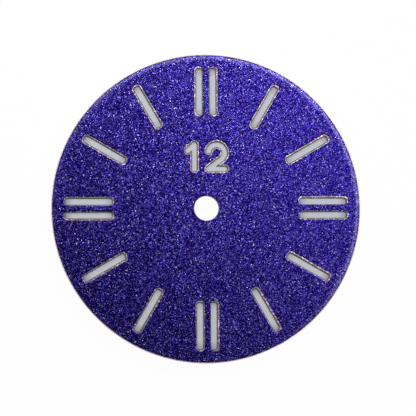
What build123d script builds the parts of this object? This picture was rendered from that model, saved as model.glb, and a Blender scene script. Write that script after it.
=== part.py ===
from build123d import *
import math
import os

# Watch dial of the sandwich kind. The front plate carries a glitter lacquer, and the hour bars and
# a numeral are cut through it. They show a luminous layer that lies on a base plate. The base plate
# stands on four copper feet, each soldered into a seat in its back.
#
# Lengths are in millimetres and angles in degrees. The origin is the centre of the middle hole on
# the back face. +Z comes out of the dial's face and +Y points to 12 o'clock.

os.makedirs("parts", exist_ok=True)

# Outline of the dial
dial_diameter = 28.5
centre_hole_diameter = 2.27

# Thickness of each layer, from the back to the front
base_thickness = 0.40
lume_thickness = 0.08
film_thickness = 0.03
plate_thickness = 0.20
coat_thickness = 0.08

# How far each layer stops short of the front plate's rim
base_rim_inset = 0.10
lume_rim_inset = 0.35
film_rim_inset = 0.45
coat_rim_inset = 0.05

# How far each layer stops short of the wall of the middle hole
lume_hole_inset = 0.45
film_hole_inset = 0.55
coat_hole_inset = 0.03

# The walls of the windows lean back towards the face. This is how far, seen from above, and how
# deep the slope reaches.
window_bevel = 0.08
bevel_depth = 0.12

# How far the lacquer stands back from the top of each bevel, and the film from the window's foot
coat_window_inset = 0.09
film_window_inset = 0.08

# Edges
shoulder_width = 0.35
shoulder_drop = 0.06
coat_lip_radius = 0.03
plate_edge_break = 0.02
base_edge_break = 0.05

# Hour bars: a pair at 12, 3, 6 and 9 o'clock and one at each hour between. Lengths and widths of the
# bars and the numeral are those at the foot of the windows.
quarter_count = 4
hours_in_quarter = 3
bar_rim_distance = 1.30
bar_length = 4.28
bar_width = 0.56
bar_corner_radius = 0.20
bar_pair_spacing = 1.26

# Numeral below the bars at 12 o'clock. Its middle lies at the room share of the way from the middle
# hole to the bars, and the two's bow has a radius of the bow share of the numeral's centre lines.
numeral_room_share = 0.4825
numeral_height = 2.71
numeral_stroke = 0.46
numeral_gap = 0.84
bow_share = 0.3333
flag_reach = 0.62
flag_drop = 0.56
bow_start_angle = 168

# Dial feet, as two opposite pairs
foot_diameter = 0.70
foot_length = 2.20
foot_tip_chamfer = 0.10
foot_rim_distance = 1.45
foot_line_angle = 60
foot_pair_angle = 24
seat_radius = 0.65
seat_depth = 0.12

# A corner is rounded by no more than this share of the side that it rounds
corner_limit_share = 0.49

# Values worked out from the sizes above
full_turn = 360
half_turn = full_turn / 2
dial_radius = dial_diameter / 2
hole_radius = centre_hole_diameter / 2
foot_radius = foot_diameter / 2
foot_circle_radius = dial_radius - foot_rim_distance
hour_angle = full_turn / (quarter_count * hours_in_quarter)
bar_circle_radius = dial_radius - bar_rim_distance - bar_length / 2
numeral_room = bar_circle_radius - bar_length / 2 - hole_radius
numeral_rise = hole_radius + numeral_room_share * numeral_room
lume_bottom = base_thickness
film_bottom = lume_bottom + lume_thickness
plate_bottom = film_bottom + film_thickness
coat_bottom = plate_bottom + plate_thickness
dial_thickness = coat_bottom + coat_thickness

# Centres of the feet
foot_angles = [
    line + side * foot_pair_angle / 2
    for line in (foot_line_angle, foot_line_angle + half_turn)
    for side in (-1, 1)
]
foot_places = [
    (foot_circle_radius * math.cos(math.radians(angle)), foot_circle_radius * math.sin(math.radians(angle)))
    for angle in foot_angles
]

# Centre lines of the numeral, whose strokes reach half a stroke beyond them
stroke_reach = numeral_height - numeral_stroke
bow_radius = bow_share * stroke_reach
numeral_width = flag_reach + numeral_gap + 2 * bow_radius + 2 * numeral_stroke
stroke_top = numeral_rise + stroke_reach / 2
stroke_bottom = numeral_rise - stroke_reach / 2
flag_tip_x = (numeral_stroke - numeral_width) / 2
stem_x = flag_tip_x + flag_reach
two_left = stem_x + numeral_stroke + numeral_gap
two_right = two_left + 2 * bow_radius
two_corner = Vector(two_left, stroke_bottom)
bow_centre = Vector(two_left + bow_radius, stroke_top - bow_radius)

# The slanted stroke of the two runs from its corner and touches the bow at this angle
corner_reach = two_corner - bow_centre
corner_angle = math.degrees(math.atan2(corner_reach.Y, corner_reach.X))
bow_end_angle = corner_angle + math.degrees(math.acos(bow_radius / corner_reach.length))

# Numeral: the one is a short flag and an upright stem, the two a bow, a slanted stroke and a foot
with BuildSketch() as numeral:
    with BuildLine():
        Polyline((flag_tip_x, stroke_top - flag_drop), (stem_x, stroke_top), (stem_x, stroke_bottom))
        offset(amount=numeral_stroke / 2, kind=Kind.ARC, side=Side.BOTH)
    make_face()
    with BuildLine():
        bow = CenterArc(bow_centre, bow_radius, bow_start_angle, bow_end_angle - bow_start_angle)
        Polyline(bow @ 1, two_corner, (two_right, stroke_bottom))
        offset(amount=numeral_stroke / 2, kind=Kind.ARC, side=Side.BOTH)
    make_face()


def bar(length, width, corner_radius):
    """One hour bar, its corners rounded as far as its width allows."""
    RectangleRounded(length, width, min(corner_radius, corner_limit_share * width))


def window_outlines(margin=0, web_margin=0):
    """All bars and the numeral, grown by margin, or by web_margin where two bars face each other."""
    length = bar_length + 2 * margin
    corner_radius = bar_corner_radius + margin
    with BuildSketch() as outlines:
        add(numeral.sketch)
        if margin:
            offset(amount=margin, kind=Kind.ARC)
        with PolarLocations(bar_circle_radius, quarter_count):
            with GridLocations(0, bar_pair_spacing + margin - web_margin, 1, 2):
                bar(length, bar_width + margin + web_margin, corner_radius)
        for hour in range(1, hours_in_quarter):
            with PolarLocations(bar_circle_radius, quarter_count, start_angle=hour * hour_angle):
                bar(length, bar_width + 2 * margin, corner_radius)
    return outlines.sketch


# The lacquer stands back from each bevel, but it covers the whole of the narrow web between the
# two bars of a pair. The film stands back all round.
windows = window_outlines()
coat_openings = window_outlines(window_bevel + coat_window_inset, window_bevel)
film_openings = window_outlines(film_window_inset, film_window_inset)

# Base plate: a brass disc with a shallow seat in its back for each foot
with BuildPart() as base_plate:
    with BuildSketch():
        Circle(dial_radius - base_rim_inset)
        Circle(hole_radius, mode=Mode.SUBTRACT)
    extrude(amount=base_thickness)
    back_rim = base_plate.faces().sort_by(Axis.Z)[0].outer_wire()
    chamfer(back_rim.edges(), length=base_edge_break)
    with BuildSketch():
        with Locations(*foot_places):
            Circle(seat_radius)
    extrude(amount=seat_depth, mode=Mode.SUBTRACT)
base_plate.part.label = "base_plate"
export_step(base_plate.part, "parts/base_plate.step")

# Luminous layer: a pale ring printed on the base plate
with BuildPart() as lume_layer:
    with BuildSketch(Plane.XY.offset(lume_bottom)):
        Circle(dial_radius - lume_rim_inset)
        Circle(hole_radius + lume_hole_inset, mode=Mode.SUBTRACT)
    extrude(amount=lume_thickness)
lume_layer.part.label = "lume_layer"
export_step(lume_layer.part, "parts/lume_layer.step")

# Adhesive film: bonds the front plate down and leaves the windows clear
with BuildPart() as adhesive_film:
    with BuildSketch(Plane.XY.offset(film_bottom)):
        Circle(dial_radius - film_rim_inset)
        Circle(hole_radius + film_hole_inset, mode=Mode.SUBTRACT)
        add(film_openings, mode=Mode.SUBTRACT)
    extrude(amount=film_thickness)
adhesive_film.part.label = "adhesive_film"
export_step(adhesive_film.part, "parts/adhesive_film.step")

# Front plate: a brass disc with the windows cut through it, their walls bevelled and its own edges
# broken
with BuildPart() as top_plate:
    with BuildSketch(Plane.XY.offset(plate_bottom)):
        Circle(dial_radius)
        Circle(hole_radius, mode=Mode.SUBTRACT)
        add(windows, mode=Mode.SUBTRACT)
    extrude(amount=plate_thickness)
    plate_top = top_plate.faces().sort_by(Axis.Z)[-1]
    hole_wire, *window_wires = sorted(plate_top.inner_wires(), key=lambda wire: wire.center().length)
    chamfer([*plate_top.outer_wire().edges(), *hole_wire.edges()], length=plate_edge_break)
    window_edges = [edge for wire in window_wires for edge in wire.edges()]
    chamfer(window_edges, length=window_bevel, length2=bevel_depth, reference=top_plate.faces().sort_by(Axis.Z)[-1])
top_plate.part.label = "top_plate"
export_step(top_plate.part, "parts/top_plate.step")

# Glitter lacquer: its rim falls away in a rounded shoulder, and each opening has a rounded lip
with BuildPart() as glitter_coat:
    coat_rim = dial_radius - coat_rim_inset
    with BuildSketch(Plane.XZ):
        with BuildLine():
            shoulder_top = (coat_rim - shoulder_width, dial_thickness)
            shoulder_foot = (coat_rim, dial_thickness - shoulder_drop)
            TangentArc(shoulder_top, shoulder_foot, tangent=(1, 0))
            Polyline(
                shoulder_foot,
                (coat_rim, coat_bottom),
                (hole_radius + coat_hole_inset, coat_bottom),
                (hole_radius + coat_hole_inset, dial_thickness),
                shoulder_top,
            )
        make_face()
    revolve(axis=Axis.Z)
    with BuildSketch(Plane.XY.offset(coat_bottom)):
        add(coat_openings)
    extrude(amount=coat_thickness, mode=Mode.SUBTRACT)
    coat_top = glitter_coat.faces().sort_by(Axis.Z)[-1]
    lips = [edge for wire in coat_top.inner_wires() for edge in wire.edges()]
    fillet(lips, radius=coat_lip_radius)
glitter_coat.part.label = "glitter_coat"
export_step(glitter_coat.part, "parts/glitter_coat.step")

# Feet and their solder, each pair of pieces in its seat
for number, place in enumerate(foot_places, start=1):
    # Foot: a copper post from the floor of its seat, with a chamfered tip
    with BuildPart() as foot:
        with BuildSketch(Plane.XY.offset(-foot_length)):
            with Locations(place):
                Circle(foot_radius)
        extrude(amount=foot_length + seat_depth)
        chamfer(foot.faces().sort_by(Axis.Z)[0].edges(), length=foot_tip_chamfer)
    foot.part.label = f"foot_{number}"
    export_step(foot.part, f"parts/foot_{number}.step")

    # Solder: fills the seat round the foot, flush with the back
    with BuildPart() as solder:
        with BuildSketch():
            with Locations(place):
                Circle(seat_radius)
                Circle(foot_radius, mode=Mode.SUBTRACT)
        extrude(amount=seat_depth)
    solder.part.label = f"solder_{number}"
    export_step(solder.part, f"parts/solder_{number}.step")

print("dial thickness", round(dial_thickness, 3))
print("thickness over the feet", round(dial_thickness + foot_length, 3))
print("numeral width", round(numeral_width, 3))
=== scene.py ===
import math
import random

import bmesh
import bpy
from bpy.props import FloatProperty, FloatVectorProperty, IntProperty, PointerProperty
from mathutils import Euler, Matrix, Vector
from mathutils.kdtree import KDTree


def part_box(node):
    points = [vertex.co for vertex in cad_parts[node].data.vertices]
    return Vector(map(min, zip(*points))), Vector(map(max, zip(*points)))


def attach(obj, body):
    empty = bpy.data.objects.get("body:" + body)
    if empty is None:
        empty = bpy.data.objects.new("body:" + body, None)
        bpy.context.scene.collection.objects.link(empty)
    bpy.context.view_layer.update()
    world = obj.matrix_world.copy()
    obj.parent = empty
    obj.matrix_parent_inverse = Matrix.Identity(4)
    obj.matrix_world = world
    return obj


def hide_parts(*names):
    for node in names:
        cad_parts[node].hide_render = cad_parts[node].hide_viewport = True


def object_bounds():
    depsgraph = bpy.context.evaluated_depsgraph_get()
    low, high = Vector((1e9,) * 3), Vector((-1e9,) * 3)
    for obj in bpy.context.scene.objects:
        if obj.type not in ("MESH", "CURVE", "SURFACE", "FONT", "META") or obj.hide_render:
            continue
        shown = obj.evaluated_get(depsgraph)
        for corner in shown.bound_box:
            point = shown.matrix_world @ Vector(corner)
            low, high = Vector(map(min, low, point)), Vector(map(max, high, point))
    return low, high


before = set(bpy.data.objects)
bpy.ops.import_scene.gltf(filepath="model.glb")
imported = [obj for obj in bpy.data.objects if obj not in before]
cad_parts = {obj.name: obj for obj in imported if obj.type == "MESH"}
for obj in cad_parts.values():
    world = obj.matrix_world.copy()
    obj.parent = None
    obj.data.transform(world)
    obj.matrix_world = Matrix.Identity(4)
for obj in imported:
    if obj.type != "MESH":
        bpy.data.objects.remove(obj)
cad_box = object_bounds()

bl_info = {
    "name": "Glitter Watch Dial",
    "version": (1, 0, 0),
    "blender": (4, 5, 0),
    "location": "3D View > Sidebar > Dial",
    "description": "Dresses the CAD model of a watch dial with glitter lacquer, brass and lume",
    "category": "Object",
}

# The frame is in metres, and this is one millimetre
MM = 0.001

# Points closer than this are one point
WELD = 0.0002 * MM

# Numbers of the CAD model's feet, which their solder shares
FEET = sorted(name.removeprefix("foot_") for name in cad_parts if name.startswith("foot_"))

# Seeds of the random draws
LACQUER_SEED = 3
FLAKE_SEED = 11

# The lacquer's sheet is cut finer in steps, each of a few rounds. The first step's spacing is the
# sheet's own, doubled this often, and each further step halves it. The last steps also even the
# points out.
REFINING_STEPS = 5
REFINING_ROUNDS = 3
EVENING_STEPS = 3

# An edge is cut while it is longer than this many spacings
LONGEST_EDGE = 1.4

# Points of the lacquer's outline beyond this share of its rim's radius lie on the rim, and those
# within this share of its hole's radius lie on the hole
RIM_SHARE = 0.99
HOLE_SHARE = 1.05

# A flake's sides, and its depth and the radius of its top as shares of its own radius
FLAKE_SIDES = 6
FLAKE_DEPTH = 0.3
FLAKE_TOP = 0.8

# Least and greatest radius of a flake, as shares of the largest flake's
FLAKE_SIZES = (0.5, 1.0)

# Least and greatest lean of a flake, in radians, on the face and on the shoulder. On the shoulder
# it leans outwards, give or take the stray.
FACE_LEANS = (0.05, 0.4)
SHOULDER_LEANS = (0, 0.26)
SHOULDER_STRAY = 0.9

# Distances from the rim between which the shoulder gets flakes of its own
SHOULDER_BAND = (0.18 * MM, 0.5 * MM)

# Tints of the lacquer's grains, from bluer to redder, as factors of their colour
GRAIN_TINTS = [(0.0, (0.5, 0.6, 1.25)), (0.5, (1.0, 1.0, 1.0)), (1.0, (1.35, 1.15, 0.75))]

# Least and greatest brightness that the lacquer has from its fine grains and from its clouds, as
# shares of its own
FINE_SWING = (0.27, 1.73)
CLOUD_SWING = (0.75, 1.25)

# Brass lies flat where its normal's height is above this. The rest of it is cut, and both the cut
# brass and the bare rim are less metallic.
FLAT = 0.95
CUT_METALLIC = 0.3

# Outline of the solder's fillet as shares of its reach and rise, from the plate up the post
SOLDER_FILLET = ((1, 1 / 12), (0.4, 1 / 3), (0.1, 3 / 4), (0, 1))

# Sides of the turned pieces
TURNED_SIDES = 48

# Heights in the sky, as shares of the zenith's, between which it darkens for metal
OVERHEAD_BAND = (0.3, 0.8)

# The camera shows nothing nearer than this
NEAREST = 10 * MM


# Node trees


class Value:
    """A socket of a node tree. Python's operators on it add Math nodes."""

    def __init__(self, nodes, socket):
        self.nodes = nodes
        self.socket = socket

    def __add__(self, other):
        return self.nodes.maths("ADD", self, other)

    def __radd__(self, other):
        return self.nodes.maths("ADD", other, self)

    def __sub__(self, other):
        return self.nodes.maths("SUBTRACT", self, other)

    def __rsub__(self, other):
        return self.nodes.maths("SUBTRACT", other, self)

    def __mul__(self, other):
        return self.nodes.maths("MULTIPLY", self, other)

    def __rmul__(self, other):
        return self.nodes.maths("MULTIPLY", other, self)

    def __gt__(self, other):
        return self.nodes.maths("GREATER_THAN", self, other)

    def __lt__(self, other):
        return self.nodes.maths("LESS_THAN", self, other)

    def __pow__(self, other):
        return self.nodes.maths("POWER", self, other)


class Nodes:
    """A node tree that is built up node by node."""

    def __init__(self, tree):
        self.tree = tree
        tree.nodes.clear()

    def add(self, kind, settings=None, values=None, output=0):
        """Adds one node: its settings first, then the values or links of its sockets."""
        node = self.tree.nodes.new(kind)
        for key, setting in (settings or {}).items():
            setattr(node, key, setting)
        for key, value in (values or {}).items():
            if isinstance(value, Value):
                self.tree.links.new(value.socket, node.inputs[key])
            else:
                node.inputs[key].default_value = value
        return Value(self, node.outputs[output]) if node.outputs else None

    def maths(self, operation, *values):
        return self.add("ShaderNodeMath", {"operation": operation}, dict(enumerate(values)))

    def vectors(self, operation, *values, output="Vector"):
        settings = {"operation": operation}
        return self.add("ShaderNodeVectorMath", settings, dict(enumerate(values)), output)

    def scaled(self, vector, factor):
        settings = {"operation": "SCALE"}
        return self.add("ShaderNodeVectorMath", settings, {0: vector, "Scale": factor})

    def mix(self, factor, first, second, blend="MIX"):
        """Mixes two colours."""
        settings = {"data_type": "RGBA", "blend_type": blend}
        return self.add("ShaderNodeMix", settings, {0: factor, 6: first, 7: second}, output=2)

    def ramp(self, factor, stops):
        """A colour that follows the factor through stops, each a place from 0 to 1 and a colour."""
        value = self.add("ShaderNodeValToRGB", values={"Fac": factor})
        elements = value.socket.node.color_ramp.elements
        while len(elements) < len(stops):
            elements.new(1)
        for element, (position, tint) in zip(elements, stops):
            element.position = position
            element.color = rgba(tint)
        return value

    def fade(self, value, start, end, low=0, high=1):
        """Goes evenly from low to high while the value goes from start to end, and no further."""
        values = {"Value": value, "From Min": start, "From Max": end, "To Min": low, "To Max": high}
        return self.add("ShaderNodeMapRange", values=values)

    def parts(self, vector):
        """The three parts of a vector or colour."""
        first = self.add("ShaderNodeSeparateXYZ", values={0: vector})
        return [Value(self, socket) for socket in first.socket.node.outputs]

    def noise(self, where, scale, detail=2, roughness=0.5, output=0):
        values = {"Vector": where, "Scale": scale, "Detail": detail, "Roughness": roughness}
        return self.add("ShaderNodeTexNoise", values=values, output=output)

    def cells(self, where, scale, output="Color"):
        values = {"Vector": where, "Scale": scale}
        return self.add("ShaderNodeTexVoronoi", {"feature": "F1"}, values, output)

    def bump(self, height, strength, distance):
        values = {"Height": height, "Strength": strength, "Distance": distance}
        return self.add("ShaderNodeBump", values=values)

    def rays(self):
        """1 for rays from the camera, metal or glass, and 1 for those from the camera alone."""
        camera = self.add("ShaderNodeLightPath", output="Is Camera Ray")
        outputs = camera.socket.node.outputs
        glossy = Value(self, outputs["Is Glossy Ray"])
        through = Value(self, outputs["Is Transmission Ray"])
        return self.maths("MAXIMUM", camera, self.maths("MAXIMUM", glossy, through)), camera


class Finish(Nodes):
    """A material on one shader. Its lengths are in millimetres."""

    def __init__(self, name, shader="ShaderNodeBsdfPrincipled", **constants):
        self.material = bpy.data.materials.new(name)
        self.material.use_nodes = True
        super().__init__(self.material.node_tree)
        self.shader = self.tree.nodes.new(shader)
        self.output = self.tree.nodes.new("ShaderNodeOutputMaterial")
        self.show(self.shader.outputs[0])
        for key, value in constants.items():
            self.shader.inputs[key.replace("_", " ")].default_value = value

    def show(self, socket):
        """Makes a shader's socket the material's surface."""
        self.tree.links.new(socket, self.output.inputs["Surface"])

    def feed(self, **links):
        """Links values to the shader's own sockets."""
        for key, value in links.items():
            self.tree.links.new(value.socket, self.shader.inputs[key.replace("_", " ")])

    def place(self):
        """Where the point lies on the object, in millimetres."""
        return self.scaled(self.add("ShaderNodeTexCoord", output="Object"), 1 / MM)

    def radius(self, place):
        """How far the place lies from the line through the dial's middle."""
        across, along, _ = self.parts(place)
        return (across * across + along * along) ** 0.5


def between(share, low, high):
    """Low where the share is 0, high where it is 1, and even between them."""
    return low + (high - low) * share


def rgba(tint):
    return (*tint, 1)


def darker(tint, share):
    """A colour with only this share of its light."""
    return rgba([share * part for part in tint])


# Looks and sizes that a user would change


def amount(name, description, default):
    return FloatProperty(name=name, description=description, default=default, min=0)


def portion(name, description, default):
    return FloatProperty(
        name=name, description=description, default=default, min=0, max=1, subtype="FACTOR"
    )


def count(name, description, default):
    return IntProperty(name=name, description=description, default=default, min=0)


def power(name, description, default):
    return FloatProperty(name=name, description=description, default=default, min=0, unit="POWER")


def angle(name, description, degrees):
    return FloatProperty(
        name=name, description=description, default=math.radians(degrees), subtype="ANGLE"
    )


def length(name, description, millimetres):
    return FloatProperty(
        name=name,
        description=description,
        default=millimetres * MM,
        min=0,
        precision=6,
        unit="LENGTH",
    )


def point(name, description, millimetres):
    return FloatVectorProperty(
        name=name,
        description=description,
        default=[part * MM for part in millimetres],
        size=3,
        subtype="TRANSLATION",
        unit="LENGTH",
    )


def colour(name, description, default):
    return FloatVectorProperty(
        name=name, description=description, default=default, size=3, min=0, max=1, subtype="COLOR"
    )


class LacquerLook(bpy.types.PropertyGroup):
    """Sizes and colours of the glitter lacquer"""

    grain_spacing: length("Grain spacing", "Side of the facets of the lacquer's surface", 0.108)
    relief: length("Relief", "How far the facets' corners sink below the surface", 0.008)
    headroom: length("Headroom", "How far the lacquer stays below the proud flakes", 0.008)
    ragged: length("Ragged edge", "How far the lacquer's edge wanders at the windows", 0.03)
    lip: length("Lip", "Width of the rounding along all of the lacquer's edges", 0.03)
    shoulder_width: length("Shoulder width", "Width of the rounded shoulder at the rim", 0.42)
    shoulder_drop: length("Shoulder drop", "How far the shoulder falls at the rim", 0.013)
    rim_inset: length("Rim inset", "How far the rim stands back from the CAD node's", 0.025)
    rim_shift: point("Rim shift", "How far the rim lies off the dial's centre", (0.012, 0.013, 0))
    mask_turn: angle("Mask turn", "How far the openings stand turned against the windows", 0.13)
    mask_shift: point("Mask shift", "How far the openings lie off the windows", (0.02, 0, 0))

    flake_size: length("Flake size", "Radius of the largest proud flakes", 0.055)
    flake_count: count("Face flakes", "Flakes scattered over the face", 800)
    edge_flake_count: count("Edge flakes", "Flakes along the edges", 1300)
    shoulder_flake_count: count("Shoulder flakes", "Flakes that lean outwards on the shoulder", 300)
    # Paler tints along the edges are a painted highlight where the lacquer's edges catch light, and
    # darker tints at the rim a painted shade
    edge_highlight_tint: portion("Edge tint", "Least tint of the flakes along the edges", 0.45)
    rim_shade_tint: portion("Rim tint", "Share of their tint that flakes keep right at the rim", 0.5)

    grain_scale: amount("Grains", "Grains to a millimetre", 13)
    fine_scale: amount("Fine grains", "Fine grains to a millimetre", 21)
    grain_drift: length("Grain drift", "How far the outlines of the grains wander", 0.12)
    grain_tilt: amount("Grain tilt", "How far the grains lean, as a share of the upright", 0.16)
    gain: amount("Gain", "Brightness of the grains", 0.39)
    # Painted sheen: the shoulder's grains are brighter all round, for the light that the rounded
    # shoulder catches
    shoulder_sheen: amount("Shoulder gain", "How much brighter the grains on the shoulder are", 0.33)
    open_share: portion("Open share", "Share of the shoulder's grains that lie open and shine", 0.6)
    # Open from and open full also bound the band where the shoulder's painted sheen comes in
    open_from: length("Open from", "Radius from which grains start to lie open", 13.74)
    open_full: length("Open full", "Radius from which the whole share of them lies open", 13.94)
    open_wane: length("Open wane", "Radius from which they lie less open again", 14.02)
    open_end: length("Open end", "Radius from which no grain lies open", 14.12)

    deep: colour("Deep", "Darkest grains", (0.0024, 0.0001, 0.142))
    dark: colour("Dark", "Dark grains", (0.0078, 0.0006, 0.165))
    violet: colour("Violet", "Middle grains and the dullest flakes", (0.0245, 0.0088, 0.242))
    lavender: colour("Lavender", "Lighter grains", (0.078, 0.055, 0.4))
    bright: colour("Bright", "Bright grains and dull flakes", (0.15, 0.137, 0.68))
    spark: colour("Spark", "Rare sparks", (0.45, 0.45, 0.84))
    blue_flake: colour("Blue flake", "Blue flakes", (0.17, 0.15, 0.74))
    rose_flake: colour("Rose flake", "Rose flakes", (0.32, 0.21, 0.6))
    azure_flake: colour("Azure flake", "Azure flakes", (0.2, 0.33, 0.85))
    pale_flake: colour("Pale flake", "Palest flakes", (0.6, 0.6, 0.85))
    flake_shade: colour("Flake shade", "Flakes' mottling", (0.1, 0.06, 0.4))


class MetalLook(bpy.types.PropertyGroup):
    """Sizes and colours of the plates, feet and solder"""

    pale_brass: colour("Pale brass", "Front plate", (0.235, 0.19, 0.198))
    bare_brass: colour("Bare brass", "Front plate's bare rim", (0.74, 0.52, 0.47))
    # Colour of the cut edges and the windows' walls: partly the cut brass's own darker tone, partly
    # painted shade in the windows
    shaded_cut_brass: colour("Cut brass", "Brass at its cut edges", (0.185, 0.15, 0.138))
    bare_from: length("Bare from", "Radius from which the front plate is bare", 14.13)
    # Painted light: the cut edge round the hole keeps the pale brass, standing in for light bounced
    # into the hole
    hole_light_to: length("Pale to", "Radius up to which its cut edge is pale, at the hole", 1.2)
    dust_scale: amount("Dust", "Places for a speck of dust to a millimetre of the front plate", 9)
    # Bright specks are stray glitter painted at the brightness of its glints, and dark specks are
    # dust
    glint_share: portion("Bright share", "Share of the dust's places with a bright speck", 0.2)
    dark_share: portion("Dark share", "Share of the dust's places with a dark speck", 0.15)
    glitter_glint: colour("Bright dust", "Bright dust on the front plate", (0.8, 0.62, 0.74))
    dark_dust: colour("Dark dust", "Dark dust on the front plate", (0.09, 0.06, 0.14))

    brass: colour("Brass", "Base plate", (0.76, 0.58, 0.33))
    plate_stain: colour("Plate stain", "Heat stains on the base plate", (0.34, 0.17, 0.1))
    stain_from: length("Stain from", "Distance from a foot within which its stain is full", 0.8)
    stain_to: length("Stain to", "Distance from a foot at which its stain has faded out", 1.9)

    copper: colour("Copper", "Feet", (0.78, 0.36, 0.22))
    copper_stain: colour("Copper stain", "Feet near the solder", (0.3, 0.12, 0.1))
    heat_reach: length("Heat reach", "How far down from the base plate the feet are stained", 0.9)
    tip_chamfer: length("Tip chamfer", "Chamfer at the tips of the feet", 0.1)
    edge_break: length("Edge break", "Rounding of the tip chamfer's edges", 0.01)
    groove_rise: length("Groove rise", "Height of the feet's groove above the tip chamfer", 0.3)
    groove_width: length("Groove width", "Width of the feet's groove", 0.1)
    groove_depth: length("Groove depth", "Depth of the feet's groove", 0.02)

    solder: colour("Solder", "Solder", (0.48, 0.48, 0.5))
    solder_reach: length("Solder reach", "How far the solder's fillet reaches from the post", 0.1)
    solder_rise: length("Solder rise", "How far the solder's fillet climbs the post", 0.06)
    solder_round: length("Solder rounding", "Rounding of the solder's outer edge", 0.02)


class LumeLook(bpy.types.PropertyGroup):
    """Sizes and colours of the luminous layer and the adhesive film"""

    lume: colour("Lume", "Luminous layer", (0.6, 0.63, 0.675))
    speck: colour("Speck", "Specks in the luminous layer", (0.3, 0.31, 0.33))
    speck_size: portion("Speck size", "Radius of a speck, as a share of its cell", 0.06)
    # Painted shade: the violet-grey that the lume darkens to at the bars' ends, how strongly at
    # each end, and how far from it
    shaded: colour("Shaded lume", "Luminous layer at the ends of the bars", (0.31, 0.295, 0.36))
    outer_end: length("Outer end", "Radius at the bars' outer ends", 12.95)
    inner_end: length("Inner end", "Radius at the bars' inner ends", 8.67)
    outer_shading: portion("Outer wear", "How worn the lume is at the bars' outer ends", 0.85)
    inner_shading: portion("Inner wear", "How worn the lume is at the bars' inner ends", 0.65)
    shade_reach: length("End reach", "How far the lume is worn from the ends of the bars", 0.75)

    film: colour("Film", "Adhesive film", (0.74, 0.72, 0.64))
    bubble: colour("Bubble", "Bubbles in the adhesive film", (0.9, 0.9, 0.88))
    bubble_size: portion("Bubble size", "Radius of a bubble, as a share of its cell", 0.12)


class StageLook(bpy.types.PropertyGroup):
    """Floor, lamps and camera"""

    floor: colour("Floor", "Floor", (0.9, 0.9, 0.9))
    floor_size: length("Floor size", "Half a side of the floor", 1500)
    backdrop: portion("Backdrop", "Share of the floor that shows plain white", 0.97)
    sky: amount("Sky", "Strength of the light from all round", 0.1)
    overhead: amount("Overhead", "Brightness that metal shows overhead", 0.04)

    key: power("Key lamp", "Power of the key lamp", 0.21)
    key_place: point("Key place", "Place of the key lamp", (43, 56, 160))
    key_width: length("Key width", "Width of the key lamp across the light's direction", 170)
    key_height: length("Key height", "Height of the key lamp along the light's direction", 120)
    fill: power("Fill lamp", "Power of the low fill lamp", 0.015)
    fill_place: point("Fill place", "Place of the fill lamp", (-45, 40, 55))
    fill_size: length("Fill size", "Side of the fill lamp", 40)
    glint: power("Glint lamp", "Power of the small glint lamp", 0.045)
    glint_place: point("Glint place", "Place of the glint lamp", (48, 64, 160))
    glint_size: length("Glint size", "Side of the glint lamp", 15)

    distance: length("Distance", "Distance from the camera to the face", 130)
    view_width: length("View width", "Width of the view at the face", 38.283)
    view_right: length("View right", "How far right of the dial's centre the camera aims", 0.128)
    view_up: length("View up", "How far above the dial's centre the camera aims", 0.0075)
    tilt: angle("Tilt", "How far the camera leans off the upright", 4.6)
    heading: angle("Heading", "Which way the camera leans, counted from 3 o'clock towards 12", 225)
    roll: angle("Roll", "How far the dial stands turned in the picture", 0.215)


# Shapes


def make_piece(name, bm, finish, smooth=False):
    """Puts a finished bmesh into the scene as a piece that rides on the dial."""
    for face in bm.faces:
        face.smooth = smooth
        face.material_index = 0
    mesh = bpy.data.meshes.new(name)
    bm.to_mesh(mesh)
    bm.free()
    mesh.materials.clear()
    mesh.materials.append(finish.material)
    piece = bpy.data.objects.new(name, mesh)
    bpy.context.scene.collection.objects.link(piece)
    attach(piece, "root")
    return piece


def refine(bm, spacing):
    """Turns a flat sheet into even triangles with sides about as long as the spacing."""
    for doublings in range(REFINING_STEPS, -1, -1):
        limit = LONGEST_EDGE * spacing * 2**doublings
        for _ in range(REFINING_ROUNDS):
            long_edges = [edge for edge in bm.edges if edge.calc_length() > limit]
            if not long_edges:
                break
            bmesh.ops.subdivide_edges(bm, edges=long_edges, cuts=1)
            bmesh.ops.triangulate(bm, faces=[face for face in bm.faces if len(face.verts) > 3])
            inner = [edge for edge in bm.edges if not edge.is_boundary]
            bmesh.ops.beautify_fill(bm, faces=bm.faces[:], edges=inner, method="AREA")
            if doublings < EVENING_STEPS:
                free = [vert for vert in bm.verts if not vert.is_boundary]
                bmesh.ops.smooth_vert(bm, verts=free, factor=0.5, use_axis_x=True, use_axis_y=True)


def lacquer_sheet(look):
    """The outline of the lacquer's CAD node as a flat sheet of small triangles, its circles round.

    Gives back the sheet and the radii of its rim and its hole.
    """
    low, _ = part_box("glitter_coat")
    bm = bmesh.new()
    bm.from_mesh(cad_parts["glitter_coat"].data)
    bmesh.ops.remove_doubles(bm, verts=bm.verts, dist=WELD)
    upper = [face for face in bm.faces if any(vert.co.z > low.z + WELD for vert in face.verts)]
    bmesh.ops.delete(bm, geom=upper, context="FACES")
    node_radius = max(vert.co.xy.length for vert in bm.verts)
    hole_radius = min(vert.co.xy.length for vert in bm.verts)
    rim_radius = node_radius - look.rim_inset
    refine(bm, look.grain_spacing)
    for vert in bm.verts:
        radius = vert.co.xy.length
        if vert.is_boundary and radius > RIM_SHARE * node_radius:
            vert.co.xy *= rim_radius / radius
            vert.co += look.rim_shift
        elif vert.is_boundary and radius < HOLE_SHARE * hole_radius:
            vert.co.xy *= hole_radius / radius
    return bm, rim_radius, hole_radius


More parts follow.
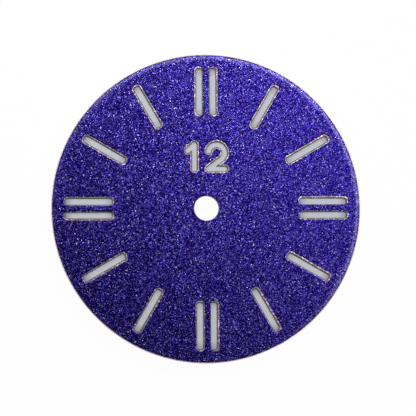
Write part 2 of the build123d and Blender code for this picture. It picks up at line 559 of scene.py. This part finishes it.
def lacquer_shell(look):
    """The lacquer as one closed shell with a facetted upper side."""
    draw = random.Random(LACQUER_SEED)
    low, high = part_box("glitter_coat")
    bm, rim_radius, hole_radius = lacquer_sheet(look)
    at_edge = bm.verts.layers.float.new("at_edge")
    turn = Matrix.Rotation(look.mask_turn, 3, "Z")
    bmesh.ops.translate(bm, verts=bm.verts, vec=(0, 0, high.z - low.z))
    surface = bm.verts[:]
    for vert in surface:
        if vert.is_boundary:
            vert[at_edge] = 1
            if HOLE_SHARE * hole_radius < vert.co.xy.length < RIM_SHARE * rim_radius:
                vert.co.x += draw.uniform(-look.ragged, look.ragged)
                vert.co.y += draw.uniform(-look.ragged, look.ragged)
                vert.co = turn @ vert.co + look.mask_shift
    outline = [edge for edge in bm.edges if edge.is_boundary]
    walls = bmesh.ops.extrude_edge_only(bm, edges=outline)["geom"]
    foot_verts = [item for item in walls if isinstance(item, bmesh.types.BMVert)]
    wall_edges = [item for item in walls if isinstance(item, bmesh.types.BMEdge)]
    foot_edges = [edge for edge in wall_edges if edge.is_boundary]
    for vert in foot_verts:
        vert.co.z = low.z
        vert[at_edge] = 0
    bmesh.ops.triangle_fill(bm, use_beauty=True, edges=foot_edges, normal=(0, 0, -1))
    shape_surface(surface, look, high.z, rim_radius, at_edge, draw)
    bmesh.ops.recalc_face_normals(bm, faces=bm.faces)
    return bm


def shoulder_sink(look, from_rim):
    """How far the rounded shoulder has fallen at a distance from the rim."""
    over = look.shoulder_width - from_rim
    bend = (look.shoulder_width**2 + look.shoulder_drop**2) / (2 * look.shoulder_drop)
    return bend - math.sqrt(bend**2 - over**2) if over > 0 else 0


def shape_surface(surface, look, top, rim_radius, at_edge, draw):
    """Sinks the surface on the shoulder and along every edge and gives it the grain's relief."""
    edge = [vert for vert in surface if vert[at_edge]]
    near = KDTree(len(edge))
    for index, vert in enumerate(edge):
        near.insert(vert.co, index)
    near.balance()
    sinks = []
    for vert in surface:
        from_rim = rim_radius - vert.co.xy.length
        sink = look.headroom + look.relief * draw.random() + shoulder_sink(look, from_rim)
        from_edge = near.find(vert.co)[2]
        sinks.append(sink + max(0, look.lip - from_edge))
    for vert, sink in zip(surface, sinks):
        vert.co.z = top - sink


def flake_template():
    """One flake of radius 1, lying flat."""
    bm = bmesh.new()
    bmesh.ops.create_cone(
        bm, cap_ends=True, segments=FLAKE_SIDES, radius1=1, radius2=FLAKE_TOP, depth=FLAKE_DEPTH
    )
    mesh = bpy.data.meshes.new("flake template")
    bm.to_mesh(mesh)
    bm.free()
    return mesh


def flake_cluster(look):
    """Small flakes, proud of the lacquer along its edges, over its face and on its shoulder."""
    draw = random.Random(FLAKE_SEED)
    _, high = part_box("glitter_coat")
    rim_radius = high.x - look.rim_inset
    mesh = bpy.data.objects["glitter_lacquer"].data
    at_edge = mesh.attributes["at_edge"].data
    edge = [vert.co.copy() for vert in mesh.vertices if at_edge[vert.index].value]
    depth = look.relief + look.headroom + look.shoulder_drop
    surface = [vert.co.copy() for vert in mesh.vertices if vert.co.z > high.z - depth]
    nearest, farthest = SHOULDER_BAND
    shoulder = [spot for spot in surface if nearest < rim_radius - spot.xy.length < farthest]
    # Flakes along the edges get only paler tints: a painted highlight where the edges catch light
    spots = [(draw.choice(edge), look.edge_highlight_tint) for _ in range(look.edge_flake_count)]
    spots += [(draw.choice(surface), 0) for _ in range(look.flake_count)]
    spots += [(draw.choice(shoulder), 0) for _ in range(look.shoulder_flake_count)]
    template = flake_template()
    bm = bmesh.new()
    tint_layer = bm.verts.layers.float.new("tint")
    for spot, least_tint in spots:
        radius = spot.xy.length
        size = look.flake_size * draw.uniform(*FLAKE_SIZES)
        lean = draw.uniform(*FACE_LEANS)
        turn = draw.uniform(0, math.tau)
        if radius > rim_radius - look.shoulder_width:
            lean = draw.uniform(*SHOULDER_LEANS)
            outwards = math.atan2(spot.y, spot.x) + math.pi / 2
            turn = outwards + draw.uniform(-SHOULDER_STRAY, SHOULDER_STRAY)
        tint = draw.uniform(least_tint, 1)
        # Flakes right at the rim are darkened: painted shade on the rim's edge
        if radius > rim_radius - look.flake_size:
            tint *= look.rim_shade_tint
        reach = size * (math.sin(lean) + FLAKE_DEPTH / 2)
        sink = shoulder_sink(look, rim_radius - radius)
        centre = Vector((spot.x, spot.y, high.z - reach - sink))
        if radius > rim_radius - size:
            centre.xy *= (rim_radius - size) / radius
        bm.from_mesh(template)
        bm.verts.ensure_lookup_table()
        added = bm.verts[-len(template.vertices):]
        pose = Euler((lean, 0, turn), "XYZ").to_matrix().to_4x4() @ Matrix.Scale(size, 4)
        bmesh.ops.transform(bm, matrix=Matrix.Translation(centre) @ pose, verts=added)
        for vert in added:
            vert[tint_layer] = tint
    return bm


def turned(points, centre, ring=False):
    """Spins a profile of radius and height round an upright line through the centre."""
    bm = bmesh.new()
    verts = [bm.verts.new((centre.x + radius, centre.y, height)) for radius, height in points]
    pairs = list(zip(verts, verts[1:]))
    if ring:
        pairs.append((verts[-1], verts[0]))
    edges = [bm.edges.new(pair) for pair in pairs]
    bmesh.ops.spin(
        bm,
        geom=verts + edges,
        cent=(centre.x, centre.y, 0),
        axis=(0, 0, 1),
        angle=math.tau,
        steps=TURNED_SIDES,
        use_merge=True,
    )
    bmesh.ops.remove_doubles(bm, verts=bm.verts, dist=WELD)
    bmesh.ops.recalc_face_normals(bm, faces=bm.faces)
    return bm


def foot_post(look, number):
    """A copper post with a fine turned groove and a chamfered tip."""
    low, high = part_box(f"foot_{number}")
    radius = (high.x - low.x) / 2
    tip = low.z + look.tip_chamfer
    groove = tip + look.groove_rise
    points = [
        (0, high.z),
        (radius, high.z),
        (radius, groove + look.groove_width / 2),
        (radius - look.groove_depth, groove + look.groove_depth),
        (radius - look.groove_depth, groove - look.groove_depth),
        (radius, groove - look.groove_width / 2),
        (radius, tip + 2 * look.edge_break),
        (radius - look.edge_break, tip),
        (radius - look.tip_chamfer, low.z + look.edge_break),
        (radius - look.tip_chamfer - 2 * look.edge_break, low.z),
        (0, low.z),
    ]
    return turned(points, (low + high) / 2)


def solder_ring(look, number):
    """Solder that fills the seat round a foot, with a small fillet up the post."""
    low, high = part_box(f"solder_{number}")
    foot_low, foot_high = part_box(f"foot_{number}")
    outer = (high.x - low.x) / 2
    inner = (foot_high.x - foot_low.x) / 2
    points = [
        (inner, high.z),
        (outer, high.z),
        (outer, low.z + look.solder_round),
        (outer - 2 * look.solder_round, low.z),
    ]
    for reach, rise in SOLDER_FILLET:
        points.append((inner + reach * look.solder_reach, low.z - rise * look.solder_rise))
    return turned(points, (low + high) / 2, ring=True)


# Finishes


def dress(node, finish):
    """Gives a CAD node its finish."""
    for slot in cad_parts[node].material_slots:
        slot.link = "OBJECT"
        slot.material = finish.material


def lacquer_finish(look):
    """Violet-blue glitter: grains of different brightness, hue and lean, with a painted sheen on
    the shoulder.
    """
    finish = Finish(
        "glitter lacquer",
        Roughness=0.28,
        IOR=1.45,
        Specular_IOR_Level=0.3,
        Specular_Tint=(0.15, 0.03, 1, 1),
        Coat_Roughness=0.1,
        Coat_IOR=1.6,
    )
    place = finish.place()
    drift = finish.noise(place, scale=9, detail=1, output="Color")
    where = finish.vectors("ADD", place, finish.scaled(drift, look.grain_drift / MM))
    grain = finish.cells(where, look.grain_scale)
    fine = finish.cells(where, look.fine_scale)
    shade, hue, chance = finish.parts(grain)
    fine_shade = finish.parts(fine)[0]
    base = finish.ramp(
        shade,
        [
            (0.0, look.deep),
            (0.16, look.dark),
            (0.5, look.violet),
            (0.84, look.lavender),
            (0.97, look.bright),
            (1.0, look.spark),
        ],
    )
    base = finish.mix(1.0, base, finish.ramp(hue, GRAIN_TINTS), blend="MULTIPLY")
    radius = finish.radius(place)
    shoulder = finish.fade(radius, look.open_from / MM, look.open_full / MM)
    rim = finish.fade(radius, look.open_wane / MM, look.open_end / MM)
    cloud = finish.noise(place, scale=0.9, detail=3)
    strength = look.gain * between(fine_shade, *FINE_SWING) * between(cloud, *CLOUD_SWING)
    # Painted sheen: brighter grains on the shoulder, for the light that its rounding catches
    strength = strength * (1 + look.shoulder_sheen * shoulder)
    upright = finish.add("ShaderNodeNewGeometry", output="Normal")
    lean = finish.vectors("SUBTRACT", finish.vectors("ADD", fine, grain), (1, 1, 1))
    normal = finish.vectors("ADD", upright, finish.scaled(lean, look.grain_tilt))
    finish.feed(
        Base_Color=finish.scaled(base, strength),
        Metallic=between(chance, 0.8, 0.98),
        Coat_Weight=shoulder * (1 - rim) * (chance > 1 - look.open_share),
        Normal=finish.vectors("NORMALIZE", normal),
    )
    return finish


def flake_finish(look):
    """Bright single flakes, each of its own tint."""
    finish = Finish("proud flakes", Specular_IOR_Level=0.4)
    tint = finish.add("ShaderNodeAttribute", {"attribute_name": "tint"}, output="Fac")
    base = finish.ramp(
        tint,
        [
            (0.0, look.violet),
            (0.35, look.bright),
            (0.7, look.blue_flake),
            (0.85, look.rose_flake),
            (0.94, look.azure_flake),
            (1.0, look.pale_flake),
        ],
    )
    mottle = finish.noise(finish.place(), scale=14)
    finish.feed(
        Base_Color=finish.mix(0.4 * mottle, base, rgba(look.flake_shade)),
        Roughness=between(mottle, 0.2, 0.5),
        Metallic=between(mottle, 0.5, 0.9),
    )
    return finish


def brass_finish(name, brass, ring_scale):
    """Brass with fine turned rings, whose scale is their number to a millimetre.

    Gives back the finish, its colour so far, the place on the plate, the place's radius, and 1
    where the metal lies flat.
    """
    finish = Finish(name)
    place = finish.place()
    radius = finish.radius(place)
    rings = finish.add("ShaderNodeCombineXYZ", values={0: radius, 1: finish.parts(place)[2]})
    grain = finish.noise(rings, ring_scale, detail=3, roughness=0.6)
    blotch = finish.noise(place, scale=0.8, detail=4, roughness=0.55)
    normal = finish.add("ShaderNodeNewGeometry", output="Normal")
    flat = finish.maths("ABSOLUTE", finish.parts(normal)[2]) > FLAT
    base = finish.mix(0.3 * blotch, rgba(brass), darker(brass, 0.75))
    base = finish.mix(0.4 * grain, base, darker(brass, 0.6))
    finish.feed(
        Roughness=between(flat, 0.5, 0.3) + 0.22 * grain,
        Normal=finish.bump(grain, strength=0.35, distance=0.004 * MM),
    )
    return finish, base, place, radius, flat


def front_plate_finish(look):
    """Pale brass, bare at the rim, with dark dust and stray glitter painted as glints. Its cut
    edges are darker, partly their own tone and partly painted shade, and pale at the hole, painted
    light.
    """
    finish, base, place, radius, flat = brass_finish("front plate brass", look.pale_brass, 14)
    rim = radius > look.bare_from / MM
    # Cut edges and the windows' walls take a dark colour: partly the cut brass's own tone, partly
    # painted shade
    base = finish.mix(flat, rgba(look.shaded_cut_brass), base)
    base = finish.mix(rim, base, rgba(look.bare_brass))
    # Painted light: the hole's cut edge is pale, standing in for light bounced into the hole
    base = finish.mix(radius < look.hole_light_to / MM, base, rgba(look.pale_brass))
    # Bright specks: stray glitter painted as glints. Dark specks: dust
    dust = finish.parts(finish.cells(place, look.dust_scale))[0]
    bright = dust > 1 - look.glint_share
    dark = dust < look.dark_share
    base = finish.mix(0.7 * flat * bright, base, rgba(look.glitter_glint))
    base = finish.mix(0.6 * flat * dark, base, rgba(look.dark_dust))
    finish.feed(Base_Color=base, Metallic=between(flat > rim, CUT_METALLIC, 1))
    return finish


def base_plate_finish(look):
    """Yellow brass, stained by the solder's heat round each foot."""
    finish, base, place, _, flat = brass_finish("base plate brass", look.brass, 9)
    cloud = finish.noise(place, scale=2.5, detail=3)
    for number in FEET:
        low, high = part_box(f"solder_{number}")
        away = finish.vectors("DISTANCE", place, (low + high) / 2 / MM, output="Value")
        start, end = look.stain_from / MM, look.stain_to / MM
        stain = finish.fade(away + 0.5 * cloud, start, end, low=0.75, high=0)
        base = finish.mix(stain, base, rgba(look.plate_stain))
    finish.feed(Base_Color=base, Metallic=between(flat, CUT_METALLIC, 1))
    return finish


def lume_finish(look):
    """Luminous compound: slightly uneven off-white powder, with painted shade at the ends of the
    bars.
    """
    finish = Finish("luminous compound", Roughness=0.85, Specular_IOR_Level=0.2)
    place = finish.place()
    radius = finish.radius(place)
    powder = finish.noise(place, scale=22, detail=3, roughness=0.6)
    cloud = finish.noise(place, scale=1.4, detail=3)
    speck = finish.cells(place, scale=2.2, output="Distance") < look.speck_size
    base = finish.mix(cloud, darker(look.lume, 0.93), rgba(look.lume))
    base = finish.mix(0.2 * powder, base, darker(look.lume, 0.8))
    # Painted shade: the lume darkens towards each end of the bars, standing in for the shadow of
    # the windows' end walls
    for end, shading in ((look.outer_end, look.outer_shading), (look.inner_end, look.inner_shading)):
        from_end = finish.maths("ABSOLUTE", radius - end / MM)
        shaded = finish.fade(from_end, start=0, end=look.shade_reach / MM, low=shading, high=0)
        base = finish.mix(shaded, base, rgba(look.shaded))
    base = finish.mix(0.5 * speck, base, rgba(look.speck))
    finish.feed(Base_Color=base, Normal=finish.bump(powder, strength=0.5, distance=0.01 * MM))
    return finish


def film_finish(look):
    """Adhesive film: milky and uneven, with small trapped bubbles."""
    finish = Finish("adhesive film", IOR=1.48)
    place = finish.place()
    cloud = finish.noise(place, scale=3, detail=4)
    bubble = finish.cells(place, scale=4, output="Distance") < look.bubble_size
    base = finish.mix(0.4 * cloud, rgba(look.film), darker(look.film, 0.8))
    finish.feed(
        Base_Color=finish.mix(0.4 * bubble, base, rgba(look.bubble)),
        Roughness=between(cloud, 0.15, 0.5),
        Normal=finish.bump(cloud, strength=0.3, distance=0.01 * MM),
    )
    return finish


def copper_finish(look):
    """Turned copper, darker where the solder's heat has reached it."""
    finish = Finish("turned copper", Metallic=1.0)
    place = finish.place()
    height = finish.parts(place)[2]
    turning = finish.noise(finish.add("ShaderNodeCombineXYZ", values={2: height}), scale=30)
    stain = finish.noise(place, scale=3, detail=3)
    heat = finish.fade(height, start=-look.heat_reach / MM, end=0)
    darkness = heat * between(stain, 0.3, 0.8)
    finish.feed(
        Base_Color=finish.mix(darkness, rgba(look.copper), rgba(look.copper_stain)),
        Roughness=between(stain, 0.28, 0.48),
        Normal=finish.bump(turning, strength=0.4, distance=0.01 * MM),
    )
    return finish


def solder_finish(look):
    """Tin solder: dull grey and slightly rippled."""
    finish = Finish("tin solder", Metallic=1.0)
    place = finish.place()
    ripple = finish.noise(place, scale=5, detail=3)
    grain = finish.noise(place, scale=30)
    finish.feed(
        Base_Color=finish.mix(0.5 * grain, rgba(look.solder), darker(look.solder, 0.6)),
        Roughness=between(grain, 0.3, 0.6),
        Normal=finish.bump(ripple, strength=0.4, distance=0.02 * MM),
    )
    return finish


# Floor, lamps and camera


def lay_floor(look, level):
    """A large pale floor that shows almost plain white but keeps the dial's shadow."""
    bm = bmesh.new()
    bmesh.ops.create_grid(bm, x_segments=1, y_segments=1, size=look.floor_size)
    bmesh.ops.translate(bm, verts=bm.verts, vec=(0, 0, level))
    mesh = bpy.data.meshes.new("floor")
    bm.to_mesh(mesh)
    bm.free()
    finish = Finish("pale floor", shader="ShaderNodeBsdfDiffuse", Color=rgba(look.floor))
    seen, _ = finish.rays()
    pale = Value(finish, finish.shader.outputs[0])
    white = finish.add("ShaderNodeEmission")
    blend = finish.add("ShaderNodeMixShader", values={0: seen * look.backdrop, 1: pale, 2: white})
    finish.show(blend.socket)
    mesh.materials.append(finish.material)
    floor = bpy.data.objects.new("floor", mesh)
    bpy.context.scene.collection.objects.link(floor)


def light_world(look):
    """An even soft light from all round, and a white backdrop that metal sees darker overhead."""
    world = bpy.data.worlds.new("studio")
    world.use_nodes = True
    bpy.context.scene.world = world
    sky = Nodes(world.node_tree)
    seen, camera = sky.rays()
    height = sky.parts(sky.add("ShaderNodeTexCoord", output="Generated"))[2]
    shown = 1 - sky.fade(height, *OVERHEAD_BAND) * (1 - look.overhead) * (1 - camera)
    strength = seen * shown + (1 - seen) * look.sky
    white = sky.add("ShaderNodeBackground", values={"Color": (1, 1, 1, 1), "Strength": strength})
    sky.add("ShaderNodeOutputWorld", values={"Surface": white})


def add_lamp(name, watts, size, place, face_level):
    """A soft rectangular lamp that points at the middle of the face."""
    lamp = bpy.data.lights.new(name, "AREA")
    lamp.energy = watts
    lamp.shape = "RECTANGLE"
    lamp.size, lamp.size_y = size
    thing = bpy.data.objects.new(name, lamp)
    thing.location = place
    thing.rotation_mode = "QUATERNION"
    aim = Vector((0, 0, face_level)) - thing.location
    thing.rotation_quaternion = aim.to_track_quat("-Z", "Y")
    bpy.context.scene.collection.objects.link(thing)


def add_camera(look, face_level):
    """The camera looks down on the face almost upright, with 12 o'clock up."""
    camera = bpy.data.cameras.new("camera")
    camera.lens = camera.sensor_width * look.distance / look.view_width
    camera.clip_start = NEAREST
    thing = bpy.data.objects.new("camera", camera)
    aim = Vector((look.view_right, look.view_up, face_level))
    hinge = Vector((-math.sin(look.heading), math.cos(look.heading), 0))
    lean = Matrix.Rotation(look.tilt, 3, hinge)
    thing.location = aim + lean @ Vector((0, 0, look.distance))
    thing.rotation_euler = (lean @ Matrix.Rotation(-look.roll, 3, "Z")).to_euler()
    bpy.context.scene.collection.objects.link(thing)
    bpy.context.scene.camera = thing


# Operators and panel


class DIAL_OT_lacquer(bpy.types.Operator):
    """Pours the glitter lacquer in place of its plain CAD node"""

    bl_idname = "dial.lacquer"
    bl_label = "Glitter lacquer"

    def execute(self, context):
        look = context.scene.dial_lacquer
        piece = make_piece("glitter_lacquer", lacquer_shell(look), lacquer_finish(look))
        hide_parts("glitter_coat")
        return {"FINISHED"}


class DIAL_OT_flakes(bpy.types.Operator):
    """Strews single flakes that stand proud of the lacquer"""

    bl_idname = "dial.flakes"
    bl_label = "Proud flakes"

    def execute(self, context):
        look = context.scene.dial_lacquer
        piece = make_piece("proud_flakes", flake_cluster(look), flake_finish(look))
        return {"FINISHED"}


class DIAL_OT_plates(bpy.types.Operator):
    """Gives the two plates their brass"""

    bl_idname = "dial.plates"
    bl_label = "Brass plates"

    def execute(self, context):
        look = context.scene.dial_metal
        dress("top_plate", front_plate_finish(look))
        dress("base_plate", base_plate_finish(look))
        return {"FINISHED"}


class DIAL_OT_lume(bpy.types.Operator):
    """Gives the luminous layer and the adhesive film their finish"""

    bl_idname = "dial.lume"
    bl_label = "Lume and film"

    def execute(self, context):
        look = context.scene.dial_lume
        dress("lume_layer", lume_finish(look))
        dress("adhesive_film", film_finish(look))
        return {"FINISHED"}


class DIAL_OT_feet(bpy.types.Operator):
    """Turns the copper feet and sets them in solder"""

    bl_idname = "dial.feet"
    bl_label = "Feet and solder"

    def execute(self, context):
        look = context.scene.dial_metal
        copper = copper_finish(look)
        solder = solder_finish(look)
        for number in FEET:
            post = foot_post(look, number)
            foot = make_piece(f"copper_foot_{number}", post, copper, smooth=True)
            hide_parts(f"foot_{number}")
            fillet = solder_ring(look, number)
            ring = make_piece(f"solder_ring_{number}", fillet, solder, smooth=True)
            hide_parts(f"solder_{number}")
        return {"FINISHED"}


class DIAL_OT_stage(bpy.types.Operator):
    """Sets up the floor, the lamps and the camera"""

    bl_idname = "dial.stage"
    bl_label = "Stage"

    def execute(self, context):
        look = context.scene.dial_stage
        low, high = cad_box
        lay_floor(look, low.z)
        light_world(look)
        key_size = (look.key_width, look.key_height)
        fill_size = (look.fill_size, look.fill_size)
        glint_size = (look.glint_size, look.glint_size)
        add_lamp("key lamp", look.key, key_size, look.key_place, high.z)
        add_lamp("fill lamp", look.fill, fill_size, look.fill_place, high.z)
        add_lamp("glint lamp", look.glint, glint_size, look.glint_place, high.z)
        add_camera(look, high.z)
        context.scene.view_settings.view_transform = "Standard"
        return {"FINISHED"}


class DIAL_PT_looks(bpy.types.Panel):
    """Lists the dial's operators and looks"""

    bl_idname = "DIAL_PT_looks"
    bl_label = "Watch dial"
    bl_space_type = "VIEW_3D"
    bl_region_type = "UI"
    bl_category = "Dial"

    def draw(self, context):
        for operator in OPERATORS:
            self.layout.operator(operator.bl_idname)
        for name in LOOKS:
            group = getattr(context.scene, name)
            box = self.layout.box()
            for key in group.__annotations__:
                box.prop(group, key)


LOOKS = {
    "dial_lacquer": LacquerLook,
    "dial_metal": MetalLook,
    "dial_lume": LumeLook,
    "dial_stage": StageLook,
}
OPERATORS = [
    DIAL_OT_lacquer,
    DIAL_OT_flakes,
    DIAL_OT_plates,
    DIAL_OT_lume,
    DIAL_OT_feet,
    DIAL_OT_stage,
]
CLASSES = [*LOOKS.values(), *OPERATORS, DIAL_PT_looks]


def register():
    for item in CLASSES:
        bpy.utils.register_class(item)
    for name, group in LOOKS.items():
        setattr(bpy.types.Scene, name, PointerProperty(type=group))


def unregister():
    for name in LOOKS:
        delattr(bpy.types.Scene, name)
    for item in reversed(CLASSES):
        bpy.utils.unregister_class(item)


def main():
    register()
    bpy.ops.dial.lacquer()
    bpy.ops.dial.flakes()
    bpy.ops.dial.plates()
    bpy.ops.dial.lume()
    bpy.ops.dial.feet()
    bpy.ops.dial.stage()


if __name__ == "__main__":
    main()
